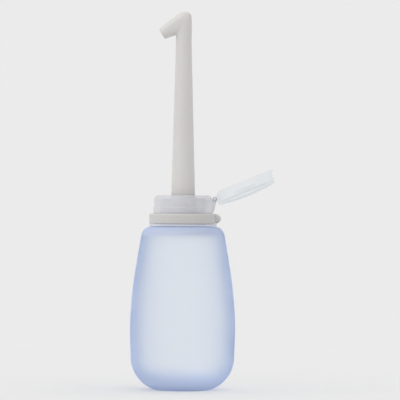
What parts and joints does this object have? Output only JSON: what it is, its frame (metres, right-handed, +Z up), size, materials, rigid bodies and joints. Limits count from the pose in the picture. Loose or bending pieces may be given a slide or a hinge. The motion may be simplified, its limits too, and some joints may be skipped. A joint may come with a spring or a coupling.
{
  "type": "squeeze wash bottle",
  "caption": "Hand-held squeeze wash bottle with a soft frosted body, screw collar, socketed cap, hooked spray nozzle and hinged flip lid.",
  "frame": {"origin": "centre of the flat base", "axes": "+Z up along the bottle and nozzle axis; the lid's hinge stands at +X, and the nozzle's hook points to -X"},
  "size_m": [0.1037, 0.0754, 0.2714],
  "materials": {
    "frosted_blue_silicone": "frosted translucent pale blue, soft",
    "off_white_plastic": "warm off-white, satin moulded",
    "milky_clear_plastic": "milky translucent, semi-gloss",
    "soft_seal": "white silicone rubber",
    "pin_plastic": "white satin"
  },
  "bodies": {
    "bottle": {"bottle_body": "frosted_blue_silicone", "neck_ring": "off_white_plastic", "neck_gasket": "soft_seal"},
    "cap": {"cap_body": "milky_clear_plastic", "lid_hinge_pin": "pin_plastic"},
    "collar": {"screw_collar": "off_white_plastic"},
    "lid": {"flip_lid": "milky_clear_plastic", "lid_seal": "soft_seal"},
    "nozzle_seal": {"nozzle_o_ring": "soft_seal"},
    "nozzle": {"nozzle_tube": "off_white_plastic", "spray_plate": "off_white_plastic"}
  },
  "joints": [
    {"name": "closure_lift", "type": "slide", "parent": "bottle", "child": "cap", "axis": [0, 0, 1], "range_m": [0, 0.0036]},
    {"name": "collar_turn", "type": "hinge", "parent": "cap", "child": "collar", "pos_m": [0, 0, 0.1228], "axis": [0, 0, 1], "range_deg": [0, 400]},
    {"name": "lid_hinge", "type": "hinge", "parent": "cap", "child": "lid", "pos_m": [0.0228, 0, 0.137], "axis": [0, -1, 0], "range_deg": [-9, 76]},
    {"name": "nozzle_pull", "type": "slide", "parent": "cap", "child": "nozzle_seal", "axis": [0, 0, 1], "range_m": [0, 0.0115]},
    {"name": "nozzle_turn", "type": "hinge", "parent": "nozzle_seal", "child": "nozzle", "pos_m": [0, 0, 0.137], "axis": [0, 0, 1], "continuous": true}
  ],
  "couplings": [
    {"joint": "closure_lift", "follows": "collar_turn", "m_per_rad": 0.0005093}
  ]
}
